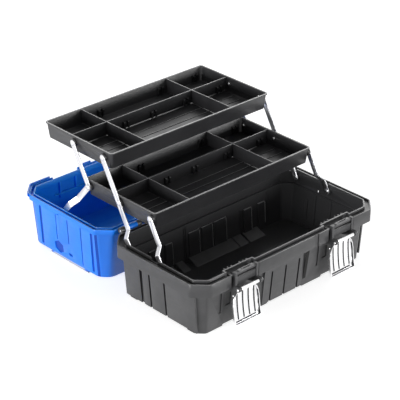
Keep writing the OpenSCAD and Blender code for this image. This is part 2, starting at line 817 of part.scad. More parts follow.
module lower_tray() {
    color([0.10, 0.10, 0.11]) tray(lower_front, lower_rim, [front_low, main_low, rear_low]);
}

module upper_tray() {
    color([0.10, 0.10, 0.11]) tray(upper_front, upper_rim, [main_up, rear_up]);
}

/* Arms and their rivets, drawn on the right */

// A flat strap from the pivot at one end along its length, with a sideways step between from and to.
// It starts a distance side further out than it ends, and holes lists its pivots along the length.
module strap(length, side, from, to, holes) {
    t = arm_t;
    difference() {
        union() {
            linear_extrude(arm_w, center = true)
                polygon([[0, side], [from, side], [to, 0], [length, 0],
                    [length, t], [to, t], [from, side + t], [0, side + t]]);
            translate([0, side, 0]) rotate([-90, 0, 0]) cylinder(h = t, d = arm_w, $fn = fine);
            translate([length, 0, 0]) rotate([-90, 0, 0]) cylinder(h = t, d = arm_w, $fn = fine);
        }
        for (u = holes) translate([u, -cut, 0]) rotate([-90, 0, 0])
            cylinder(h = side + t + 2 * cut, r = rivet_r + turn_fit, $fn = fine);
    }
}

// Places a strap at x and at the pivot p, leaning back by the angle lean
module leaned(x, p, lean) {
    translate([x, p[0], p[1]]) rotate([-lean, 0, 0]) rotate([-90, -90, 0]) children();
}

module main_arm() {
    leaned(arm_x, main_base, arm_open)
        strap(2 * arm_length, arm_step, step_end - step_length, step_end, [0, arm_length, 2 * arm_length]);
}

module front_arm() {
    leaned(arm_x, front_base, arm_open)
        strap(arm_length, arm_step, step_end - step_length, step_end, [0, arm_length]);
}

module rear_arm() {
    leaned(arm_x, rear_low, arm_open)
        strap(arm_length, 0, step_end - step_length, step_end, [0, arm_length]);
}

module lid_link() {
    leaned(link_x, lid_pivot, link_lean + 180)
        strap(link_reach, link_side, link_reach - link_step - step_length, link_reach - link_step,
            [0, link_reach]);
}

module main_arm_left() { color([0.8, 0.8, 0.82]) mirror([1, 0, 0]) main_arm(); }
module main_arm_right() { color([0.8, 0.8, 0.82]) main_arm(); }
module front_arm_left() { color([0.8, 0.8, 0.82]) mirror([1, 0, 0]) front_arm(); }
module front_arm_right() { color([0.8, 0.8, 0.82]) front_arm(); }
module rear_arm_left() { color([0.8, 0.8, 0.82]) mirror([1, 0, 0]) rear_arm(); }
module rear_arm_right() { color([0.8, 0.8, 0.82]) rear_arm(); }
module lid_link_left() { color([0.8, 0.8, 0.82]) mirror([1, 0, 0]) lid_link(); }
module lid_link_right() { color([0.8, 0.8, 0.82]) lid_link(); }

// A rivet in a base wall: its head is inside, its tail is flush with the tongue
module base_arm_rivets() {
    color([0.7, 0.7, 0.72]) both_sides() for (p = [main_base, front_base]) {
        head = arm_out_x - arm_gap;
        x_bar(p, head - rivet_head_t, head, rivet_head_r);
        x_bar(p, head, tongue_x, rivet_r);
    }
}

// A rivet in a tray wall: its head is outside, over what turns on it
module tray_rivet(p, outer) {
    tail = tray_wall_x - tray_wall - inner_pad;
    x_bar(p, outer + arm_gap, outer + arm_gap + rivet_head_t, rivet_head_r);
    x_bar(p, tail, outer + arm_gap, rivet_r);
    x_bar(p, tail - rivet_tail_t, tail, rivet_tail_r);
}

module lower_tray_rivets() {
    color([0.7, 0.7, 0.72]) both_sides() {
        for (p = [front_low, main_low]) tray_rivet(p, arm_x + arm_t);
        tray_rivet(rear_low, link_x + arm_t);
    }
}

module upper_tray_rivets() {
    color([0.7, 0.7, 0.72]) both_sides() for (p = [main_up, rear_up]) tray_rivet(p, arm_x + arm_t);
}

// The pin at the lid's end of each lid link: its head is inside, its end is flush with the link
module lid_link_pins() {
    color([0.7, 0.7, 0.72]) both_sides() {
        x_bar(lid_pivot, link_out_x - rivet_head_t, link_out_x, rivet_head_r);
        x_bar(lid_pivot, link_out_x, link_out_x + arm_t, rivet_r);
    }
}

/* Hinges, latches, handle and covers */

module hinge_pins() {
    half = lid_knuckle_w / 2 + 0.4 + base_knuckle_w;
    color([0.72, 0.73, 0.75]) both_sides() for (x = [hinge_inner_x, hinge_outer_x])
        x_bar([hinge_y, hinge_z], x - half, x + half, hinge_pin_r);
}

// The latch plate's front outline, as [x, z] from the latch's middle
function plate_outline(inset, top) =
    let (h = plate_w / 2 - inset, n = post_gap - 1.5 - inset,
        side = [[h, plate_bend_z - 18], [h - 1.5, plate_bend_z - 9], [h - 4.5, plate_bend_z - 2],
            [n, plate_top], [n, top]])
    concat([[-h, plate_low + inset], [h, plate_low + inset]], side,
        [for (i = [len(side) - 1:-1:0]) [-side[i][0], side[i][1]]]);

module plate_block(inset, top) {
    translate([0, -latch_y + 2 * plate_back, 0]) rotate([90, 0, 0])
        linear_extrude(4 * plate_back) polygon(plate_outline(inset, top));
}

// A sheet that follows the plate's sweep, from a distance behind its middle to a distance in front of it
module plate_sweep(x0, x1, behind, ahead, z0, z1) {
    centre_y = -plate_face_y - plate_sweep_r;
    x_plate(x0, x1) intersection() {
        difference() {
            translate([centre_y, plate_bend_z]) circle(r = plate_sweep_r + behind, $fn = sweep_fine);
            translate([centre_y, plate_bend_z]) circle(r = plate_sweep_r - ahead, $fn = sweep_fine);
        }
        translate([centre_y, z0]) square([plate_sweep_r + 2 * plate_t, z1 - z0]);
    }
}

// Hangs from its roll: a bent neck, a ribbed face and a flange round the face's sides and foot
module latch_plate(x) {
    half = plate_w / 2;
    neck = post_gap - 1.5;
    t = plate_t / 2;
    pitch = (plate_w - 2 * plate_t) / (plate_ribs - 0.6);
    translate([x, 0, 0]) difference() {
        union() {
            intersection() {
                plate_block(0, plate_top);
                union() {
                    plate_sweep(-half, half, t, t, plate_low, plate_top);
                    for (i = [0:plate_ribs - 1]) {
                        middle = (i - (plate_ribs - 1) / 2) * pitch;
                        plate_sweep(middle - pitch / 2 + 1.2, middle + pitch / 2 - 1.2, t, t + 1,
                            plate_low + 7, plate_top - 3);
                    }
                }
            }
            intersection() {
                difference() {
                    plate_block(0, plate_top);
                    plate_block(plate_t, plate_top + cut);
                }
                plate_sweep(-half, half, t, plate_flange, plate_low, plate_top);
            }
            x_plate(-neck, neck) hull() {
                translate([-plate_face_y, plate_top - 1]) circle(r = t, $fn = fine);
                translate(latch_pin + roll_r * [0.6, -0.4]) circle(r = t, $fn = fine);
            }
            x_bar(latch_pin, -neck, neck, roll_r);
        }
        x_bar(latch_pin, -half, half, latch_pin_r + turn_fit);
    }
}

module latch_plate_left() { color([0.85, 0.86, 0.88]) latch_plate(-latch_x); }
module latch_plate_right() { color([0.85, 0.86, 0.88]) latch_plate(latch_x); }

module latch_pins() {
    half = post_gap + post_w;
    head_t = 2.4;
    color([0.85, 0.86, 0.88]) for (x = [-latch_x, latch_x]) {
        x_bar([-latch_y, latch_z], x - half, x + half, latch_pin_r);
        x_bar([-latch_y, latch_z], x - half - head_t, x - half, latch_pin_r + 0.8);
        x_bar([-latch_y, latch_z], x + half, x + half + head_t, latch_pin_r + 0.8);
    }
}

module carrying_handle() {
    half = handle_length / 2;
    z0 = handle_axis_z - handle_t / 2;
    z1 = handle_axis_z + handle_t / 2;
    grip_y = handle_axis_y - handle_reach;
    color([0.09, 0.09, 0.10]) turned_over() difference() {
        union() {
            block([-half, grip_y - handle_bar / 2, z0], [half, grip_y + handle_bar / 2, z1]);
            for (x = [-half, half - handle_bar]) {
                block([x, grip_y, z0], [x + handle_bar, handle_axis_y, z1]);
                x_bar([handle_axis_y, handle_axis_z], x, x + handle_bar, handle_t / 2);
            }
        }
        both_sides()
            x_bar([handle_axis_y, handle_axis_z], half - handle_pin_in, half + cut, handle_pin_r + turn_fit);
    }
}

module handle_pins() {
    half = handle_length / 2;
    color([0.7, 0.7, 0.72]) turned_over() both_sides()
        x_bar([handle_axis_y, handle_axis_z], half - handle_pin_in, recess_x + handle_pin_out, handle_pin_r);
}

module organiser_cover() {
    side = cover_depth / 2;
    difference() {
        union() {
            block([cover_axis_x + cover_barrel_r, -side, plinth_top - cover_t],
                [cover_end_x, side, plinth_top]);
            block([cover_axis_x, -cover_barrel_w / 2, plinth_top - cover_t],
                [cover_axis_x + 2 * cover_barrel_r, cover_barrel_w / 2, plinth_top]);
            block([cover_end_x - cover_lip_t, -cover_lip_w / 2, lid_top + seat_gap],
                [cover_end_x, cover_lip_w / 2, plinth_top]);
            y_bar(cover_axis_x, -cover_barrel_w / 2, cover_barrel_w / 2, cover_barrel_r);
        }
        y_bar(cover_axis_x, -side - cut, side + cut, cover_pin_r + turn_fit);
    }
}

module organiser_cover_left() {
    color([0.85, 0.88, 0.9, 0.5]) turned_over() mirror([1, 0, 0]) organiser_cover();
}
module organiser_cover_right() { color([0.85, 0.88, 0.9, 0.5]) turned_over() organiser_cover(); }

module cover_pins() {
    end = cover_barrel_w / 2;
    color([0.7, 0.7, 0.72]) turned_over() both_sides() for (s = [-1, 1])
        y_bar(cover_axis_x, s > 0 ? end - 8 : -end - cover_pin_l,
            s > 0 ? end + cover_pin_l : 8 - end, cover_pin_r);
}

base_shell();
lid_shell();
lower_tray();
upper_tray();
lower_tray_dividers();
upper_tray_dividers();
main_arm_left();
main_arm_right();
front_arm_left();
front_arm_right();
rear_arm_left();
rear_arm_right();
lid_link_left();
lid_link_right();
base_arm_rivets();
lower_tray_rivets();
upper_tray_rivets();
lid_link_pins();
hinge_pins();
latch_plate_left();
latch_plate_right();
latch_pins();
carrying_handle();
handle_pins();
organiser_cover_left();
organiser_cover_right();
cover_pins();
catch_screws();
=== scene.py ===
import math
import bpy
import bmesh
from mathutils import Matrix, Vector
from mathutils.bvhtree import BVHTree


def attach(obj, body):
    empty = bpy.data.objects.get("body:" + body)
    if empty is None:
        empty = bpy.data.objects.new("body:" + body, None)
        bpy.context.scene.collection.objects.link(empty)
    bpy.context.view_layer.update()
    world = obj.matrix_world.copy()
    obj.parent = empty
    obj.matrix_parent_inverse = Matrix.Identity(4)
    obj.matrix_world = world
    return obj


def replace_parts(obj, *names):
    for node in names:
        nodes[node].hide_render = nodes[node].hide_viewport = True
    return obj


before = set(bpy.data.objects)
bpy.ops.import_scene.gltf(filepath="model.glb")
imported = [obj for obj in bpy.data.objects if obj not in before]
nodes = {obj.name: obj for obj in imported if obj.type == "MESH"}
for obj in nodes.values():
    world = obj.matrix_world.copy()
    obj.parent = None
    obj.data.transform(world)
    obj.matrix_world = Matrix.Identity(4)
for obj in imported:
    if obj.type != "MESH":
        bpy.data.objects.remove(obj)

MM = 0.001
scene = bpy.context.scene
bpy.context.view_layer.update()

# --- Sizes, in mm, as the parts have them -------------------------------------

# The lid's hinge axis
HINGE_Y, HINGE_Z = 119.5, 105.2

# The latch plates: middles at -LATCH_X and LATCH_X, an arc about a far centre, ribs at an even pitch
LATCH_X = 115
PLATE_SWEEP_Y, PLATE_SWEEP_Z, PLATE_SWEEP_R = -332.5, 66, 220
PLATE_HALF, PLATE_LOW, PLATE_TOP, PLATE_THICK = 29.5, 11.5, 70, 1.4
PLATE_FLANGE_IN = PLATE_HALF - 1.5      # inner face of the right flange
RIB_PITCH, PLATE_RIBS = 12.77, (-2, -1, 0, 1, 2)

# The tub: its floor, the ledge that its inner walls end at, and the walls' lean between them
FLOOR_TOP, LEDGE_Z = 5, 78
FOOT_IN_X, FOOT_IN_Y = 193.4, 90.9
WALL_LEAN = 5 / 73

# The trays when open: where each one's front and rim stand, and the sizes that both share
TRAYS = {"lower_tray": (27.4, 174.28), "upper_tray": (135.0, 243.56)}
TRAY_DEPTH, TRAY_HEIGHT, TRAY_WALL, TRAY_FLOOR, TRAY_LIP, TRAY_DRAFT = 178.0, 29.3, 1.8, 1.8, 1.4, 3
PARTITION_Y, PARTITION_THICK, PARTITION_DROP = 106.5, 1.6, 1.2

# Rivets and pins
RIVET_R, RIVET_HEAD_R, RIVET_HEAD_T = 2.4, 4.4, 1.3

# Raised pads on the tub's long walls: left end, right end, top, and how far they stand proud
PILASTERS = [(low, high, 58.3, 2.6) for low, high in ((-141, -126), (-105, -88), (85, 104), (121, 138))]
PANELS = [(low, high, 60.5, 1.3) for low, high in ((-49, -23), (-18, 8.4), (12, 42))]

# Painted shadow in the front wall, as dark strips: left end, right end, foot and top
FRONT_SHADOW_MARKS = [(43, 50, 14, 77), (-62, -50, 78.2, 79.8)]

# The lip of an organiser cover: front end, rear end and top of each step
COVER_LIP_STEPS = [(212, 225, 3.0), (225, 253, 4.6), (253, 266, 3.0)]


# --- Camera -------------------------------------------------------------------

def place_camera():
    """Looks down at the open box from its left front."""
    azimuth, elevation, roll = math.radians(-43.30), math.radians(27.79), math.radians(0.33)
    back = Vector((math.sin(azimuth) * math.cos(elevation), -math.cos(azimuth) * math.cos(elevation),
                   math.sin(elevation)))
    right = Vector((math.cos(azimuth), math.sin(azimuth), 0))
    up = back.cross(right)
    right, up = (math.cos(roll) * right + math.sin(roll) * up,
                 math.cos(roll) * up - math.sin(roll) * right)
    data = bpy.data.cameras.new("camera")
    camera = bpy.data.objects.new("camera", data)
    scene.collection.objects.link(camera)
    turn = Matrix((right, up, back)).transposed().to_4x4()
    camera.matrix_world = Matrix.Translation((-1.7080, -1.6956, 1.4126)) @ turn
    data.sensor_width = 36
    focal_length = 1602.42 / 400        # in widths of the picture
    data.lens = focal_length * data.sensor_width
    data.clip_start, data.clip_end = 0.1, 50
    scene.camera = camera


# --- Materials ----------------------------------------------------------------

class Tree:
    """Builds one material's nodes. Textures follow the piece, in metres."""

    def __init__(self, name):
        self.mat = bpy.data.materials.new(name)
        self.mat.use_nodes = True
        self.tree = self.mat.node_tree
        self.shader = self.tree.nodes["Principled BSDF"]
        self.place = self.add("ShaderNodeTexCoord")

    def add(self, kind, **values):
        node = self.tree.nodes.new(kind)
        for key, value in values.items():
            setattr(node, key, value)
        return node

    def link(self, a, b):
        self.tree.links.new(a, b)

    def mapped(self, scale):
        node = self.add("ShaderNodeMapping")
        node.inputs["Scale"].default_value = scale
        self.link(self.place.outputs["Object"], node.inputs["Vector"])
        return node.outputs["Vector"]

    def noise(self, scale, detail=4, stretch=None, rough=0.5):
        node = self.add("ShaderNodeTexNoise")
        node.inputs["Scale"].default_value = scale
        node.inputs["Detail"].default_value = detail
        node.inputs["Roughness"].default_value = rough
        self.link(self.mapped(stretch) if stretch else self.place.outputs["Object"], node.inputs["Vector"])
        return node.outputs["Fac"]

    def ramp(self, fac, stops):
        node = self.add("ShaderNodeValToRGB")
        ramp = node.color_ramp
        while len(ramp.elements) < len(stops):
            ramp.elements.new(0.5)
        for element, (pos, colour) in zip(ramp.elements, stops):
            element.position = pos
            element.color = (*colour, 1)
        self.link(fac, node.inputs["Fac"])
        return node.outputs["Color"]

    def span(self, fac, low, high, src=(0.3, 0.7)):
        """The range src of fac, stretched to run from low to high."""
        node = self.add("ShaderNodeMapRange")
        for key, value in zip(("From Min", "From Max", "To Min", "To Max"), (*src, low, high)):
            node.inputs[key].default_value = value
        self.link(fac, node.inputs["Value"])
        return node.outputs["Result"]

    def math(self, kind, a, b):
        node = self.add("ShaderNodeMath", operation=kind)
        for socket, value in zip(node.inputs, (a, b)):
            if isinstance(value, (int, float)):
                socket.default_value = value
            else:
                self.link(value, socket)
        return node.outputs[0]

    def mix(self, fac, a, b, kind="MIX"):
        node = self.add("ShaderNodeMix", data_type="RGBA", blend_type=kind)
        for socket, value in zip((node.inputs["Factor"], node.inputs[6], node.inputs[7]), (fac, a, b)):
            if isinstance(value, (int, float)):
                socket.default_value = value
            elif isinstance(value, tuple):
                socket.default_value = (*value, 1)
            else:
                self.link(value, socket)
        return node.outputs[2]

    def edge(self):
        """1 along outer edges, 0 on flat faces."""
        return self.span(self.add("ShaderNodeNewGeometry").outputs["Pointiness"], 0, 1, (0.505, 0.56))

    def bump(self, height, distance):
        node = self.add("ShaderNodeBump")
        node.inputs["Distance"].default_value = distance
        self.link(height, node.inputs["Height"])
        self.link(node.outputs["Normal"], self.shader.inputs["Normal"])

    def set(self, **values):
        for key, value in values.items():
            socket = self.shader.inputs[key.replace("_", " ")]
            if isinstance(value, (int, float, tuple)):
                socket.default_value = value
            else:
                self.link(value, socket)


def moulded_plastic(name, colour, rough=0.42, grain=0.00006, edge_wear_and_highlight=1.5, spec=0.5):
    """Injection-moulded plastic: fine spark-eroded grain, slow changes in tone, paler edges (partly rubbed
    wear, partly a painted highlight).
    """
    t = Tree(name)
    cloud = t.noise(9, 3)
    speck = t.noise(900, 2)
    dark = tuple(c * 0.86 for c in colour)
    pale = tuple(min(1, c * 1.12) for c in colour)
    base = t.ramp(cloud, [(0.3, dark), (0.7, pale)])
    # Paler outer edges: partly rubbed wear, partly a painted highlight where the edges would catch light.
    wear_and_highlight = t.math("MULTIPLY", t.edge(), t.span(t.noise(60, 4), 0.2, 1))
    base = t.mix(t.math("MULTIPLY", wear_and_highlight, 0.5), base, tuple(min(1, c * edge_wear_and_highlight + 0.01) for c in colour))
    scuff = t.noise(40, 6, (1, 1, 6), 0.7)
    dull = t.math("ADD", scuff, t.math("MULTIPLY", cloud, 0.4))
    t.set(Base_Color=base, Roughness=t.span(dull, rough - 0.06, rough + 0.08, (0.45, 0.9)),
          Specular_IOR_Level=spec)
    t.bump(t.math("ADD", speck, t.math("MULTIPLY", t.noise(260, 3), 0.6)), grain)
    return t.mat


def brushed_metal(name, colour, rough, along):
    """Plated steel with fine drawing lines, faint stains and brighter edges from wear."""
    t = Tree(name)
    lines = t.noise(400, 5, along, 0.65)
    stain = t.noise(30, 5)
    dark = tuple(c * 0.8 for c in colour)
    base = t.mix(t.span(stain, 0, 0.5), colour, dark)
    base = t.mix(t.math("MULTIPLY", t.edge(), 0.6), base, tuple(min(1, c * 1.15) for c in colour))
    dull = t.math("ADD", t.math("MULTIPLY", lines, 0.6), t.math("MULTIPLY", stain, 0.4))
    t.set(Base_Color=base, Metallic=1.0, Roughness=t.span(dull, rough - 0.08, rough + 0.12))
    t.bump(lines, 0.00003)
    return t.mat


def clear_plastic(name):
    """Clear polished cover with faint haze and hairline scratches."""
    t = Tree(name)
    haze = t.noise(25, 5)
    scratch = t.noise(500, 3, (1, 12, 1), 0.7)
    t.set(Base_Color=t.ramp(haze, [(0.3, (0.80, 0.85, 0.88)), (0.7, (0.90, 0.93, 0.95))]),
          Roughness=t.span(t.math("MAXIMUM", haze, scratch), 0.06, 0.22),
          Transmission_Weight=0.85, IOR=1.49)
    t.bump(scratch, 0.00002)
    return t.mat


BASE_BLACK = moulded_plastic("base_black_plastic", (0.044, 0.044, 0.046), 0.36, spec=0.45)
# Painted shade: a darker copy of the base plastic for the tub's inside faces and its inner pads.
BASE_INSIDE_SHADE = moulded_plastic("base_inside_painted_shade", (0.03, 0.03, 0.032), 0.6, spec=0.22)
# Painted highlight: a paler copy of the base plastic for its rim tops, latch-bay stays and blocks.
BASE_RIM_HIGHLIGHT = moulded_plastic("base_rim_painted_highlight", (0.14, 0.14, 0.143), 0.30, 0.00003)
TRAY_BLACK = moulded_plastic("tray_black_plastic", (0.026, 0.026, 0.028), 0.34, 0.00004, spec=0.45)
# Painted highlight: a paler copy of the tray plastic for the rim, ledge and divider tops.
TRAY_RIM_HIGHLIGHT = moulded_plastic("tray_rim_painted_highlight", (0.32, 0.32, 0.324), 0.28, 0.00003)
HANDLE_BLACK = moulded_plastic("handle_black_plastic", (0.03, 0.03, 0.032), 0.45)
LID_BLUE = moulded_plastic("lid_blue_plastic", (0.006, 0.19, 0.85), 0.32, 0.00004, 1.3)
# Painted light: a lighter blue for the lid's rim top and the inner faces of its band.
LID_RIM_LIT = moulded_plastic("lid_rim_painted_light", (0.01, 0.30, 0.95), 0.4, 0.00003, 1.1, 0.4)
# Painted light: a lighter blue for the lid's inner walls and floor.
LID_INSIDE_LIT = moulded_plastic("lid_inside_painted_light", (0.002, 0.28, 1.0), 0.4, 0.00004, 1.2)
# Painted light: a lighter blue for the rails and strips inside the lid.
LID_EDGE_LIT = moulded_plastic("lid_edge_painted_light", (0.03, 0.45, 1.0), 0.35, 0.00003, 1.1)
LID_SHADE = moulded_plastic("lid_shade_plastic", (0.0, 0.06, 0.42), 0.5, 0.00003, 1.1, 0.3)
# Painted highlight: pale opaque plastic for the clear covers' lips, where their edges look bright.
COVER_LIP_HIGHLIGHT = moulded_plastic("cover_edge_painted_highlight", (0.42, 0.44, 0.50), 0.35, 0.00003, 1.1)
# Painted highlight: pale grey for the thin edges along the tub's inner pads.
EDGE_HIGHLIGHT = moulded_plastic("inner_edge_painted_highlight", (0.30, 0.30, 0.305), 0.35, 0.00003)
# Painted light: a paler plastic for the pads at the foot of the tub's long walls.
BASE_PAD_LIT = moulded_plastic("base_pad_painted_light", (0.085, 0.085, 0.087), 0.42)
# Painted shadow: near-black for slots, recesses and groove floors that lie in shade.
SHADOW_BLACK = moulded_plastic("slot_painted_shadow", (0.006, 0.006, 0.006), 0.6, spec=0.2)
CLIP_BLACK = moulded_plastic("clip_black_plastic", (0.008, 0.008, 0.009), 0.4, spec=0.35)
STRAP_STEEL = brushed_metal("strap_zinc_steel", (0.66, 0.66, 0.68), 0.3, (30, 30, 1))
LATCH_STEEL = brushed_metal("latch_bright_steel", (0.90, 0.90, 0.91), 0.22, (30, 30, 1))
# Painted shade: dark steel for the lines in the latch plates' grooves, foot and flange.
LATCH_GROOVE_SHADE = brushed_metal("latch_groove_painted_shade", (0.035, 0.035, 0.038), 0.5, (30, 30, 1))
PIN_STEEL = brushed_metal("pin_steel", (0.74, 0.74, 0.75), 0.26, (1, 20, 20))
CLEAR = clear_plastic("organiser_clear_plastic")


# --- Finish of the CAD nodes --------------------------------------------------

def rounded(obj, round_mm):
    """Small rounded edges wherever faces meet at a clear angle, with the flat faces kept flat."""
    bevel = obj.modifiers.new("edges", "BEVEL")
    bevel.width = round_mm * MM
    bevel.segments = 2
    bevel.limit_method = "ANGLE"
    bevel.angle_limit = math.radians(18)
    bevel.harden_normals = True
    bevel.use_clamp_overlap = True
    for poly in obj.data.polygons:
        poly.use_smooth = True


def finish_node(name, material, round_mm):
    """A node's material, with its doubled points welded, its flat faces merged and its edges rounded."""
    obj = nodes[name]
    obj.data.materials.clear()
    obj.data.materials.append(material)
    weld = obj.modifiers.new("weld", "WELD")
    weld.merge_threshold = 0.00002
    flat = obj.modifiers.new("flat", "DECIMATE")
    flat.decimate_type = "DISSOLVE"
    flat.angle_limit = math.radians(1)
    flat.delimit = {"NORMAL", "MATERIAL"}
    rounded(obj, round_mm)


def paint_top_highlight(name, material, heights):
    """The level faces at these heights, in mm, get a paler copy of the material, a painted highlight."""
    obj = nodes[name]
    obj.data.materials.append(material)
    for poly in obj.data.polygons:
        if poly.normal.z > 0.95 and any(abs(poly.center.z / MM - h) < 0.05 for h in heights):
            poly.material_index = 1


def paint_inner_faces(name, material, middle_y, half_x, half_y, low, high, floor_too=False):
    """The inward faces of an open shell's walls, between two heights in mm, get a finish of their own.

    Only faces within half_x and half_y of the shell's middle count. With floor_too, those that face up
    are painted as well. A darker material paints shade on them, a lighter one paints light.
    """
    obj = nodes[name]
    obj.data.materials.append(material)
    index = len(obj.data.materials) - 1
    for poly in obj.data.polygons:
        x, y, z = (c / MM for c in poly.center)
        y -= middle_y
        inward = poly.normal.x * x < -0.3 * abs(x) or poly.normal.y * y < -0.3 * abs(y)
        inward = inward or (floor_too and poly.normal.z > 0.5)
        if inward and abs(x) < half_x and abs(y) < half_y and low < z < high:
            poly.material_index = index


def paint_lip_highlight(name):
    """The clear covers' upright ends get a pale opaque plastic, a painted highlight."""
    obj = nodes[name]
    obj.data.materials.append(COVER_LIP_HIGHLIGHT)
    for poly in obj.data.polygons:
        if abs(poly.normal.x) > 0.7:
            poly.material_index = 1


def shade_grooves(name, material, wall, lean):
    """The floors of the grooves and recesses in the two end walls get painted shade, a darker material.

    A wall's face stands wall mm out at the table's height, and lean mm further out for each mm up.
    """
    obj = nodes[name]
    obj.data.materials.append(material)
    index = len(obj.data.materials) - 1
    for poly in obj.data.polygons:
        x, _, z = (c / MM for c in poly.center)
        depth = wall - (abs(x) - lean * z)
        if poly.normal.x * x > 0 and abs(poly.normal.x) > 0.9 and 0.8 < depth < 2.1:
            poly.material_index = index


# Each node's finish, and how far its edges are rounded
FINISH = [
    ("base_shell", BASE_BLACK, 0.7), ("lid_shell", LID_BLUE, 0.6),
    ("lower_tray", TRAY_BLACK, 0.45), ("upper_tray", TRAY_BLACK, 0.45),
    ("lower_tray_dividers", TRAY_BLACK, 0.25), ("upper_tray_dividers", TRAY_BLACK, 0.25),
    ("main_arm_left", STRAP_STEEL, 0.25), ("main_arm_right", STRAP_STEEL, 0.25),
    ("front_arm_left", STRAP_STEEL, 0.25), ("front_arm_right", STRAP_STEEL, 0.25),
    ("rear_arm_left", STRAP_STEEL, 0.25), ("rear_arm_right", STRAP_STEEL, 0.25),
    ("lid_link_left", STRAP_STEEL, 0.25), ("lid_link_right", STRAP_STEEL, 0.25),
    ("base_arm_rivets", PIN_STEEL, 0.3), ("lower_tray_rivets", PIN_STEEL, 0.3),
    ("upper_tray_rivets", PIN_STEEL, 0.3), ("lid_link_pins", PIN_STEEL, 0.3),
    ("hinge_pins", PIN_STEEL, 0.2), ("latch_plate_left", LATCH_STEEL, 0.25),
    ("latch_plate_right", LATCH_STEEL, 0.25), ("latch_pins", LATCH_STEEL, 0.3),
    ("carrying_handle", HANDLE_BLACK, 1.2), ("handle_pins", PIN_STEEL, 0.2),
    ("organiser_cover_left", CLEAR, 0.3), ("organiser_cover_right", CLEAR, 0.3),
    ("cover_pins", PIN_STEEL, 0.2), ("catch_screws", PIN_STEEL, 0.15),
]
for node_name, finish, rounding in FINISH:
    finish_node(node_name, finish, rounding)
for tray_name, (front, rim) in TRAYS.items():
    under = rim - TRAY_HEIGHT
    # Painted highlight on each tray's rim and inner ledge tops, and on its dividers' tops.
    paint_top_highlight(tray_name, TRAY_RIM_HIGHLIGHT, [rim, under + TRAY_FLOOR + 1])
    paint_top_highlight(tray_name + "_dividers", TRAY_RIM_HIGHLIGHT, [rim - PARTITION_DROP])
# Painted highlight on the base's rim tops.
paint_top_highlight("base_shell", BASE_RIM_HIGHLIGHT, [106, 103.5, 99.5])
# Painted shade: the tub's inner walls darker than its outside.
paint_inner_faces("base_shell", BASE_INSIDE_SHADE, middle_y=0, half_x=204, half_y=101.5, low=4, high=100)
# Painted light on the lid's rim top.
paint_top_highlight("lid_shell", LID_RIM_LIT, [106.6])
# Painted light: the lid's inner walls and floor lighter than its outside.
paint_inner_faces("lid_shell", LID_INSIDE_LIT, middle_y=2 * HINGE_Y, half_x=209.5, half_y=107.5, low=4, high=93,
            floor_too=True)
# Painted light on the inner faces of the lid's band.
paint_inner_faces("lid_shell", LID_RIM_LIT, middle_y=2 * HINGE_Y, half_x=213.5, half_y=111.5, low=93, high=106)
paint_lip_highlight("organiser_cover_left")
paint_lip_highlight("organiser_cover_right")
# Painted shade in the grooves of the lid's and the base's end walls.
shade_grooves("lid_shell", LID_SHADE, wall=199.8, lean=0.116)
shade_grooves("base_shell", SHADOW_BLACK, wall=197.2, lean=0.096)


# --- Making pieces ------------------------------------------------------------

class Shape:
    """Collects solid pieces, in mm, into one mesh."""

    # Where a point of an outline lies, for each axis that the outline is drawn out along
    PLACE = {"x": lambda u, v, w: (w, u, v),
             "y": lambda u, v, w: (u, w, v),
             "z": lambda u, v, w: (u, v, w)}

    def __init__(self):
        self.bm = bmesh.new()

    def prism(self, axis, outline, low, high):
        """The outline, given across the axis, from low to high along it."""
        place = self.PLACE[axis]
        ends = [[self.bm.verts.new(Vector(place(u, v, w)) * MM) for u, v in outline] for w in (low, high)]
        for end in ends:
            self.bm.faces.new(end)
        count = len(outline)
        for i in range(count):
            j = (i + 1) % count
            self.bm.faces.new((ends[0][i], ends[0][j], ends[1][j], ends[1][i]))

    def block(self, a, b):
        """A box from corner a to corner b."""
        self.prism("z", [(a[0], a[1]), (b[0], a[1]), (b[0], b[1]), (a[0], b[1])], a[2], b[2])

    def mesh(self, name):
        bmesh.ops.recalc_face_normals(self.bm, faces=self.bm.faces)
        mesh = bpy.data.meshes.new(name)
        self.bm.to_mesh(mesh)
        self.bm.free()
        return mesh


def settle(name, mesh, body, materials=(), round_mm=0.0):
    """Puts a finished mesh in the scene as a piece that rides on a body."""
    obj = bpy.data.objects.new(name, mesh)
    scene.collection.objects.link(obj)
    for material in materials:
        mesh.materials.append(material)
    if round_mm:
        rounded(obj, round_mm)
    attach(obj, body)
    return obj


